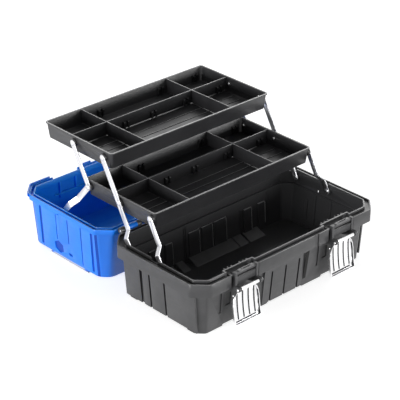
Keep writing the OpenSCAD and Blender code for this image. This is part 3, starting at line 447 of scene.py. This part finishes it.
class Pattern:
    """Builds one Geometry Nodes tree with named sizes and runs it into a plain mesh."""

    def __init__(self, name):
        self.tree = bpy.data.node_groups.new(name, "GeometryNodeTree")
        self.keys = {}
        self.tree.interface.new_socket("Geometry", in_out="INPUT", socket_type="NodeSocketGeometry")
        self.tree.interface.new_socket("Geometry", in_out="OUTPUT", socket_type="NodeSocketGeometry")
        self.start = self.add("NodeGroupInput")

    def size(self, name, kind="Float"):
        """A value that is given when the pattern is run."""
        socket = self.tree.interface.new_socket(name, in_out="INPUT", socket_type="NodeSocket" + kind)
        self.keys[name] = socket.identifier
        return self.start.outputs[name]

    def add(self, kind, **values):
        node = self.tree.nodes.new(kind)
        for key, value in values.items():
            setattr(node, key, value)
        return node

    def put(self, node, **values):
        for key, value in values.items():
            socket = node.inputs[key.replace("_", " ")]
            if hasattr(value, "is_output"):
                self.tree.links.new(value, socket)
            else:
                socket.default_value = value
        return node

    def named(self, name):
        """The number that each point carries under this name."""
        node = self.add("GeometryNodeInputNamedAttribute", data_type="FLOAT")
        node.inputs["Name"].default_value = name
        return node.outputs["Attribute"]

    def finish(self, geometry, material):
        """Ends the tree with real geometry in one material."""
        real = self.put(self.add("GeometryNodeRealizeInstances"), Geometry=geometry)
        done = self.put(self.add("GeometryNodeSetMaterial"), Geometry=real.outputs[0], Material=material)
        end = self.add("NodeGroupOutput")
        self.tree.links.new(done.outputs[0], end.inputs[0])

    def run(self, name, mesh, **values):
        """The tree's result on the mesh, as a plain mesh."""
        holder = bpy.data.objects.new(name + "_plan", mesh)
        scene.collection.objects.link(holder)
        modifier = holder.modifiers.new("pattern", "NODES")
        modifier.node_group = self.tree
        for key, value in values.items():
            modifier[self.keys[key.replace("_", " ")]] = value
        shape = holder.evaluated_get(bpy.context.evaluated_depsgraph_get())
        result = bpy.data.meshes.new_from_object(shape)
        result.name = name
        holder.modifiers.remove(modifier)
        bpy.data.objects.remove(holder)
        return result


def plan(name, points, edges=(), **values):
    """Points in mm, with lines between them and one number for each point."""
    mesh = bpy.data.meshes.new(name)
    mesh.from_pydata([Vector(p) * MM for p in points], edges, [])
    for key, numbers in values.items():
        mesh.attributes.new(key, "FLOAT", "POINT").data.foreach_set("value", numbers)
    return mesh


def pieces_on_points():
    """A part at each point."""
    p = Pattern("pieces_on_points")
    part, material = p.size("Part", "Object"), p.size("Material", "Material")
    info = p.put(p.add("GeometryNodeObjectInfo"), Object=part)
    placed = p.put(p.add("GeometryNodeInstanceOnPoints"), Points=p.start.outputs["Geometry"],
                   Instance=info.outputs["Geometry"])
    p.finish(placed.outputs[0], material)
    return p


def beads_along_lines():
    """A round bead along each line."""
    p = Pattern("beads_along_lines")
    radius, sides = p.size("Radius"), p.size("Sides", "Int")
    material = p.size("Material", "Material")
    line = p.put(p.add("GeometryNodeMeshToCurve"), Mesh=p.start.outputs["Geometry"])
    ring = p.put(p.add("GeometryNodeCurvePrimitiveCircle"), Resolution=sides, Radius=radius)
    tube = p.put(p.add("GeometryNodeCurveToMesh"), Curve=line.outputs[0], Profile_Curve=ring.outputs[0],
                 Fill_Caps=True)
    soft = p.put(p.add("GeometryNodeSetShadeSmooth"), Geometry=tube.outputs[0])
    p.finish(soft.outputs[0], material)
    return p


def domed_rivets():
    """A rivet at each point: a domed head at the point, its shank and its closed end behind."""
    p = Pattern("domed_rivets")
    head_r, head_h = p.size("Head Radius"), p.size("Head Height")
    shank_r, end_r = p.size("Shank Radius"), p.size("End Radius")
    material = p.size("Material", "Material")
    side, reach = p.named("side"), p.named("reach")

    def dome(radius, height):
        """Half a flattened ball that bulges along x from a flat back at its middle."""
        ball = p.put(p.add("GeometryNodeMeshUVSphere"), Segments=28, Rings=16, Radius=1.0)
        size = p.add("ShaderNodeCombineXYZ")
        for socket, value in zip(size.inputs, (height, radius, radius)):
            p.tree.links.new(value, socket)
        scaled = p.put(p.add("GeometryNodeTransform"), Geometry=ball.outputs[0], Scale=size.outputs[0])
        split = p.put(p.add("ShaderNodeSeparateXYZ"), Vector=p.add("GeometryNodeInputPosition").outputs[0])
        clamp = p.add("ShaderNodeMath", operation="MAXIMUM")
        p.tree.links.new(split.outputs["X"], clamp.inputs[0])
        clamp.inputs[1].default_value = 0
        joined = p.add("ShaderNodeCombineXYZ")
        for socket, value in zip(joined.inputs, (clamp.outputs[0], split.outputs["Y"], split.outputs["Z"])):
            p.tree.links.new(value, socket)
        moved = p.put(p.add("GeometryNodeSetPosition"), Geometry=scaled.outputs[0],
                      Position=joined.outputs[0])
        return moved.outputs[0]

    def across(a, kind, b):
        node = p.add("ShaderNodeMath", operation=kind)
        for socket, value in zip(node.inputs, (a, b)):
            if hasattr(value, "is_output"):
                p.tree.links.new(value, socket)
            else:
                socket.default_value = value
        return node.outputs[0]

    turn = p.add("ShaderNodeCombineXYZ")
    p.tree.links.new(across(across(1.0, "SUBTRACT", side), "MULTIPLY", math.pi / 2), turn.inputs["Z"])
    flip = p.add("ShaderNodeCombineXYZ")
    p.tree.links.new(across(across(1.0, "ADD", side), "MULTIPLY", math.pi / 2), flip.inputs["Z"])
    spots = p.start.outputs["Geometry"]
    heads = p.put(p.add("GeometryNodeInstanceOnPoints"), Points=spots, Instance=dome(head_r, head_h),
                  Rotation=turn.outputs[0])
    rod = p.put(p.add("GeometryNodeMeshCylinder"), Vertices=28, Radius=1.0, Depth=1.0)
    laid = p.put(p.add("GeometryNodeTransform"), Geometry=rod.outputs["Mesh"], Rotation=(0, math.pi / 2, 0))
    pushed = p.put(p.add("GeometryNodeTransform"), Geometry=laid.outputs[0], Translation=(-0.5, 0, 0))
    stretch = p.add("ShaderNodeCombineXYZ")
    for socket, value in zip(stretch.inputs, (reach, shank_r, shank_r)):
        p.tree.links.new(value, socket)
    shanks = p.put(p.add("GeometryNodeInstanceOnPoints"), Points=spots, Instance=pushed.outputs[0],
                   Rotation=turn.outputs[0], Scale=stretch.outputs[0])
    back = p.add("ShaderNodeCombineXYZ")
    p.tree.links.new(across(across(side, "MULTIPLY", -1.0), "MULTIPLY", reach), back.inputs["X"])
    ends = p.put(p.add("GeometryNodeSetPosition"), Geometry=spots, Offset=back.outputs[0])
    tails = p.put(p.add("GeometryNodeInstanceOnPoints"), Points=ends.outputs[0],
                  Instance=dome(end_r, head_h), Rotation=flip.outputs[0])
    both = p.add("GeometryNodeJoinGeometry")
    for item in (heads, shanks, tails):
        p.tree.links.new(item.outputs[0], both.inputs[0])
    p.finish(both.outputs[0], material)
    return p


ON_POINTS = pieces_on_points()
BEADS = beads_along_lines()
RIVETS = domed_rivets()


def spread(name, part_mesh, points, body, material, round_mm):
    """The same part at several points, in mm, as one piece."""
    part = bpy.data.objects.new(name + "_part", part_mesh)
    scene.collection.objects.link(part)
    mesh = ON_POINTS.run(name, plan(name, points), Part=part, Material=material)
    bpy.data.objects.remove(part)
    settle(name, mesh, body, (), round_mm)


# --- Base: inside of the tub --------------------------------------------------

def wall_in(foot, z):
    """Where the tub's inner face stands at the height z."""
    return foot + (min(z, LEDGE_Z) - FLOOR_TOP) * WALL_LEAN


def wall_strip(shape, axis, side, low, high, z0, z1, proud):
    """A flat pad on the inner face of a wall, from low to high along the axis, sunk a little into it."""
    foot = FOOT_IN_Y if axis == "x" else FOOT_IN_X
    sunk = 0.6
    outline = [(side * (wall_in(foot, z0) + sunk), z0), (side * (wall_in(foot, z1) + sunk), z1),
               (side * (wall_in(foot, z1) - proud), z1), (side * (wall_in(foot, z0) - proud), z0)]
    shape.prism(axis, outline, low, high)


def tub_panels():
    """Pilasters, panels and thin ribs pressed in around the wall, as the outside grooves show inside."""
    shape = Shape()
    paired_ribs = [(-57, 8, 76), (78.5, 5, 60)]                             # middle x, foot, top
    single_ribs = [(144, 17, 74), (-160, 17, 74)]                           # left end, foot, top
    end_wall_pads = [(44, 7, 20, 60), (23, 4, 16, 74), (-14, 4, 30, 76)]    # middle y, width, foot, top
    rib_width = 1.4
    for side in (1, -1):
        for low, high, top, proud in PILASTERS + PANELS:
            wall_strip(shape, "x", side, low, high, FLOOR_TOP - 0.5, top, proud)
        for x, foot, top in paired_ribs:
            for low in (x - 2.6, x + 1.2):
                wall_strip(shape, "x", side, low, low + rib_width, foot, top, 1.2)
        for low, foot, top in single_ribs:
            wall_strip(shape, "x", side, low, low + rib_width, foot, top, 1.0)
        for y, width, foot, top in end_wall_pads:
            wall_strip(shape, "y", side, y - width / 2, y + width / 2, foot, top, 1.3)
    # The pads take the darker inside plastic, painted shade.
    settle("tub_wall_panels", shape.mesh("tub_wall_panels"), "base", [BASE_INSIDE_SHADE], 0.45)


def panel_lights():
    """Thin raised edges in pale grey, a painted highlight: along the tops of the panels and down their
    right ends.
    """
    points, lines, tops = [], [], []
    bead_foot = 16
    for low, high, top, proud in PILASTERS + PANELS:
        for side in (1, -1):
            y1 = side * (wall_in(FOOT_IN_Y, top) - proud)
            y0 = side * (wall_in(FOOT_IN_Y, bead_foot) - proud)
            tops.append((low + 0.6, high - 0.6, y1, top))
            start = len(points)
            points += [(high - 0.2, y1, top - 1), (high - 0.2, y0, bead_foot)]
            lines.append((start, start + 1))
    mesh = BEADS.run("panel_edges", plan("panel_edges", points, lines), Radius=0.45 * MM, Sides=8,
                     Material=EDGE_HIGHLIGHT)
    settle("panel_edges", mesh, "base")
    shape = Shape()
    for low, high, y, z in tops:
        inner, outer = (y - 0.1, y + 2.8) if y > 0 else (y - 2.8, y + 0.1)
        shape.block((low, inner, z - 0.3), (high, outer, z + 0.45))
    settle("panel_ledges", shape.mesh("panel_ledges"), "base", [EDGE_HIGHLIGHT], 0.2)


def floor_ramps():
    """Sloping pads along the foot of the long walls, with gaps between them, in a paler plastic as painted
    light.
    """
    shape = Shape()
    runs = [(-118, -90), (-82, -66), (-51, 53), (55, 76), (80, 118)]
    outline = [(68, 4.6), (68, 5.4), (88.5, 13.4), (91.6, 14.2), (91.6, 4.6)]
    for side in (1, -1):
        for low, high in runs:
            shape.prism("x", [(side * y, z) for y, z in outline], low, high)
    settle("floor_ramps", shape.mesh("floor_ramps"), "base", [BASE_PAD_LIT], 0.6)


def bay_gussets():
    """Thin three-cornered stays behind each latch bay."""
    fin = Shape()
    fin.prism("x", [(-94.6, 104.6), (-94.6, 80), (-88.5, 102.5), (-88.5, 104.6)], -0.7, 0.7)
    places = [(side * LATCH_X + x, 0, 0) for side in (-1, 1) for x in (-25, -17, -9, 9, 17, 25)]
    # The stays are in the paler rim plastic, a painted highlight.
    spread("bay_gussets", fin.mesh("fin"), places, "base", BASE_RIM_HIGHLIGHT, 0.2)


# --- Base: latch bays and front -----------------------------------------------

def bay_tiles():
    """The small slotted block on the bar between each pair of latch posts, its slots dark strips of painted
    shadow.
    """
    tile, slot = Shape(), Shape()
    outline = [(-117.6, 106.6), (-117.6, 108.2), (-116.6, 109.0), (-111.2, 109.0), (-110.6, 106.6)]
    # The slots are dark strips on the block's top, painted shadow.
    under, over = 108.7, 109.15     # of the dark slots in the block's top
    for x in (-LATCH_X, LATCH_X):
        tile.prism("x", outline, x - 16, x + 16)
        slot.block((x - 7.5, -115.8, under), (x + 7.5, -113.4, over))
        for edge in (x - 10.5, x + 8.5):
            slot.block((edge, -114.8, under), (edge + 2, -112.4, over))
    # The block is in the paler rim plastic, a painted highlight.
    settle("bay_tiles", tile.mesh("bay_tiles"), "base", [BASE_RIM_HIGHLIGHT], 0.35)
    settle("bay_tile_slots", slot.mesh("bay_tile_slots"), "base", [SHADOW_BLACK], 0.1)


def front_marks():
    """Painted shadow in the front wall: dark strips for the shade in a tall recess towards the right latch
    and in a slot left of the middle.
    """
    wall = BVHTree.FromObject(nodes["base_shell"], bpy.context.evaluated_depsgraph_get())
    shape = Shape()
    sunk, proud = 0.4, 0.12

    def face_y(x, z):
        """Where the front wall's face stands, met from well in front of it."""
        return wall.ray_cast(Vector((x, -300, z)) * MM, Vector((0, 1, 0)))[0].y / MM

    for low, high, z0, z1 in FRONT_SHADOW_MARKS:
        middle = (low + high) / 2
        shape.prism("x", [(face_y(middle, z0) + sunk, z0), (face_y(middle, z1) + sunk, z1),
                          (face_y(middle, z1) - proud, z1), (face_y(middle, z0) - proud, z0)], low, high)
    settle("front_marks", shape.mesh("front_marks"), "base", [SHADOW_BLACK])


# --- Trays: divider clips -----------------------------------------------------

def divider_clip():
    """Two posts joined by a bar, that hold the end of a loose divider."""
    clip = Shape()
    post = [(0.4, -6.6), (0.4, 6.6), (-3.2, 5.8), (-3.9, 4.2), (-3.9, -6.6)]
    bar = [(0.4, -2.6), (0.4, 2.4), (-2.2, 1.8), (-2.2, -2.6)]
    for x in (-6.6, 2.8):
        clip.prism("x", post, x, x + 3.8)
    clip.prism("x", bar, -2.9, 2.9)
    return clip.mesh("clip")


def tray_clips():
    """Clips along each tray's long partition and along its leaning rear wall."""
    up = TRAY_FLOOR + 8.6
    for body, (front, rim) in TRAYS.items():
        z = rim - TRAY_HEIGHT + up
        rear = front + TRAY_DEPTH - TRAY_LIP - TRAY_WALL - TRAY_DRAFT * (1 - up / TRAY_HEIGHT)
        line = front + PARTITION_Y - PARTITION_THICK / 2
        places = [(x, line, z) for x in (-63, 1.6, 79, 161)] + [(x, rear, z) for x in (-64, 78, 164)]
        spread(body + "_clips", divider_clip(), places, body, CLIP_BLACK, 0.25)


# --- Rivets -------------------------------------------------------------------

def all_rivets():
    """Every rivet again with a domed head, where the plain ones sit."""
    # Node, body and radius of the closed end. Then each rivet on the right-hand side: where its head sits,
    # whether it looks out (1) or in (-1), and how far behind its closed end lies.
    jobs = [
        ("base_arm_rivets", "base", 2.4, [(197.8, -3, 93.0, -1, 7.7), (197.8, 75, 93.0, -1, 7.7)]),
        ("lower_tray_rivets", "lower_tray", 2.8, [(189.0, 37, 162.282, 1, 9.229),
                                                  (189.0, 115, 162.282, 1, 9.229),
                                                  (190.8, 193, 162.282, 1, 11.029)]),
        ("upper_tray_rivets", "upper_tray", 2.8, [(189.0, 155, 231.564, 1, 9.229),
                                                  (189.0, 233, 231.564, 1, 9.229)]),
        ("lid_link_pins", "lid_links", 2.4, [(200.4, 255, 88.98, -1, 1.6)]),
    ]
    for node, body, end_r, spots in jobs:
        points, sides, reaches = [], [], []
        for x, y, z, side, reach in spots:
            for mirror in (1, -1):
                points.append((mirror * x, y, z))
                sides.append(mirror * side)
                reaches.append(reach * MM)
        mesh = RIVETS.run(node + "_domed", plan(node, points, side=sides, reach=reaches),
                          Head_Radius=RIVET_HEAD_R * MM, Head_Height=RIVET_HEAD_T * MM,
                          Shank_Radius=RIVET_R * MM, End_Radius=end_r * MM, Material=PIN_STEEL)
        for poly in mesh.polygons:
            poly.use_smooth = True
        mesh.set_sharp_from_angle(angle=math.radians(40))
        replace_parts(settle(node + "_domed", mesh, body), node)


# --- Latch plates -------------------------------------------------------------

def latch_lines(side, body):
    """Strips that follow a latch plate's curve.

    Dark lines of painted shade run down the grooves between the ribs, across the foot and up the
    inside of the right flange. Bright beads run down the plate's back.
    """
    face = PLATE_SWEEP_R - PLATE_THICK / 2
    sunk = -0.4                 # from the plate's face
    flange_proud = 3.6
    bend_foot, bend_rise, bend_steps = 48, 1.5, 6       # the flange runs inwards from the foot of its bend
    shape = Shape()

    def face_y(z, proud):
        return PLATE_SWEEP_Y + math.sqrt((face - proud) ** 2 - (z - PLATE_SWEEP_Z) ** 2)

    def line(x0, x1, low, high, under, over):
        rise = [low + (high - low) * i / 12 for i in range(13)]
        outline = [(face_y(z, under), z) for z in rise] + [(face_y(z, over), z) for z in reversed(rise)]
        shape.prism("x", outline, side * LATCH_X + x0, side * LATCH_X + x1)

    for rib in PLATE_RIBS[1:]:
        groove = (rib - 0.5) * RIB_PITCH
        line(groove - 1.6, groove + 1.6, PLATE_LOW + 7.2, PLATE_TOP - 4.2, sunk, 1.06)
    line(-25, 21, PLATE_LOW + 2.2, PLATE_LOW + 5.0, sunk, 0.06)
    line(PLATE_FLANGE_IN, PLATE_FLANGE_IN + 0.16, PLATE_LOW + 1.2, bend_foot, sunk, flange_proud)
    for i in range(bend_steps):
        low = bend_foot + bend_rise * i
        x = PLATE_FLANGE_IN - 1.5 * (i + 1) / bend_steps
        line(x, x + 0.3, low, low + bend_rise, sunk, flange_proud)
    settle(body + "_lines", shape.mesh(body + "_lines"), body, [LATCH_GROOVE_SHADE])
    shape = Shape()
    for rib in PLATE_RIBS:
        line(rib * RIB_PITCH - 0.7, rib * RIB_PITCH + 0.7, PLATE_LOW + 6, PLATE_TOP - 6, -1.2, -2.1)
    settle(body + "_back_beads", shape.mesh(body + "_back_beads"), body, [LATCH_STEEL], 0.25)


# --- Lid, drawn open ----------------------------------------------------------

def open_lid(y, z):
    """A place on the closed lid, turned over about the hinge."""
    return 2 * HINGE_Y - y, 2 * HINGE_Z - z


def lid_inside():
    """Shelf rails along the long walls and the locating strips inside the end walls, in a lighter blue as
    painted light.
    """
    shape = Shape()
    rear_rail = [(347.2, 71.8), (347.2, 74.4), (340.4, 74.2), (340.4, 73.0)]
    front_rail = [(134.6, 72.2), (134.6, 74.2), (138.2, 74.0), (138.2, 72.4)]
    strip = [(207.0, 96), (207.0, 104.0), (203.6, 104.0), (202.8, 103.2), (202.8, 98), (205.2, 96)]
    for low, high in ((-146, -62), (62, 146)):
        shape.prism("x", rear_rail, low, high)
        shape.prism("x", front_rail, low, high)
    for side in (-1, 1):
        shape.prism("y", [(side * x, z) for x, z in strip], 153, 197)
    settle("lid_rails", shape.mesh("lid_rails"), "lid", [LID_EDGE_LIT], 0.4)


def cover_lips():
    """The lips of the organiser covers, seen under both ends of the open lid, in pale opaque plastic as a
    painted highlight.
    """
    for side, body in ((-1, "cover_left"), (1, "cover_right")):
        shape = Shape()
        for low, high, top in COVER_LIP_STEPS:
            shape.block((side * 196.2, low, 0.4), (side * 197.6, high, top))
        settle(body + "_lip", shape.mesh(body + "_lip"), body, [COVER_LIP_HIGHLIGHT], 0.2)


# --- Handle -------------------------------------------------------------------

def handle_grip():
    """Rounded grip ribs along the outside of the handle's bar."""
    rib = Shape()
    rib.prism("y", [(-0.9, -0.5), (-0.6, 0.35), (0, 0.6), (0.6, 0.35), (0.9, -0.5)], -7.4, 7.4)
    mesh = rib.mesh("grip_rib")
    mesh.transform(Matrix.Rotation(math.pi, 4, "X"))
    y, z = open_lid(-24, 209.0)
    places = [(-40 + 3.2 * i, y, z) for i in range(26)]
    spread("handle_grip_ribs", mesh, places, "handle", HANDLE_BLACK, 0.1)


tub_panels()
panel_lights()
floor_ramps()
bay_gussets()
bay_tiles()
front_marks()
cover_lips()
tray_clips()
all_rivets()
latch_lines(-1, "latch_left")
latch_lines(1, "latch_right")
lid_inside()
handle_grip()


# --- Floor, light -------------------------------------------------------------

def studio_floor():
    """A white floor, just under the feet, that glows more and more with the distance from the box."""
    mesh = bpy.data.meshes.new("studio_floor")
    half = 30
    corners = [(x * half, y * half, 0) for x, y in ((-1, -1), (1, -1), (1, 1), (-1, 1))]
    mesh.from_pydata(corners, [], [(0, 1, 2, 3)])
    floor = bpy.data.objects.new("studio_floor", mesh)
    scene.collection.objects.link(floor)
    floor.location.z = -0.3 * MM
    t = Tree("studio_white")
    out = t.tree.nodes["Material Output"]
    t.set(Base_Color=(0.88, 0.88, 0.88, 1), Roughness=0.9, Specular_IOR_Level=0.1)
    path = t.add("ShaderNodeLightPath")
    glow = t.add("ShaderNodeEmission")
    glow.inputs["Color"].default_value = (1, 1, 1, 1)
    away = t.add("ShaderNodeVectorMath", operation="LENGTH")
    t.link(t.place.outputs["Object"], away.inputs[0])
    t.link(t.span(away.outputs["Value"], 0.72, 1.0, (0.4, 1.6)), glow.inputs["Strength"])
    seen = t.math("MAXIMUM", path.outputs["Is Camera Ray"],
                  t.math("MAXIMUM", path.outputs["Is Glossy Ray"], path.outputs["Is Transmission Ray"]))
    total = t.add("ShaderNodeAddShader")
    blend = t.add("ShaderNodeMixShader")
    t.link(seen, blend.inputs[0])
    t.link(t.shader.outputs[0], blend.inputs[1])
    t.link(total.outputs[0], blend.inputs[2])
    t.link(t.shader.outputs[0], total.inputs[0])
    t.link(glow.outputs[0], total.inputs[1])
    t.link(blend.outputs[0], out.inputs["Surface"])
    mesh.materials.append(t.mat)


def studio_world():
    """White where it is seen, also by reflection or through a cover, and a dim fill otherwise."""
    world = bpy.data.worlds.new("studio")
    scene.world = world
    world.use_nodes = True
    tree = world.node_tree
    back = tree.nodes["Background"]
    back.inputs["Color"].default_value = (1, 1, 1, 1)
    path = tree.nodes.new("ShaderNodeLightPath")
    seen = path.outputs["Is Camera Ray"]
    for ray in ("Is Glossy Ray", "Is Transmission Ray"):
        high = tree.nodes.new("ShaderNodeMath")
        high.operation = "MAXIMUM"
        tree.links.new(seen, high.inputs[0])
        tree.links.new(path.outputs[ray], high.inputs[1])
        seen = high.outputs[0]
    level = tree.nodes.new("ShaderNodeMapRange")
    level.inputs["To Min"].default_value = 0.16
    level.inputs["To Max"].default_value = 1.0
    tree.links.new(seen, level.inputs["Value"])
    tree.links.new(level.outputs["Result"], back.inputs["Strength"])


def softbox(name, place, aim, size, power):
    """A lamp with a lit rectangle, size metres wide and high, turned to face a point."""
    data = bpy.data.lights.new(name, "AREA")
    data.shape = "RECTANGLE"
    data.size, data.size_y = size
    data.energy = power
    lamp = bpy.data.objects.new(name, data)
    scene.collection.objects.link(lamp)
    lamp.location = place
    lamp.rotation_euler = (Vector(aim) - Vector(place)).to_track_quat("-Z", "Y").to_euler()


place_camera()
studio_floor()
studio_world()
softbox("left_softbox", place=(-2.6, 0.2, 0.35), aim=(0, 0.1, 0.1), size=(1.4, 0.9), power=70)
softbox("front_softbox", place=(0.8, -2.6, 0.4), aim=(0, 0.1, 0.1), size=(1.4, 0.9), power=50)
softbox("back_softbox", place=(1.7, 2.2, 1.5), aim=(0, 0.1, 0.15), size=(3.2, 2.2), power=42)
scene.view_settings.view_transform = "Standard"
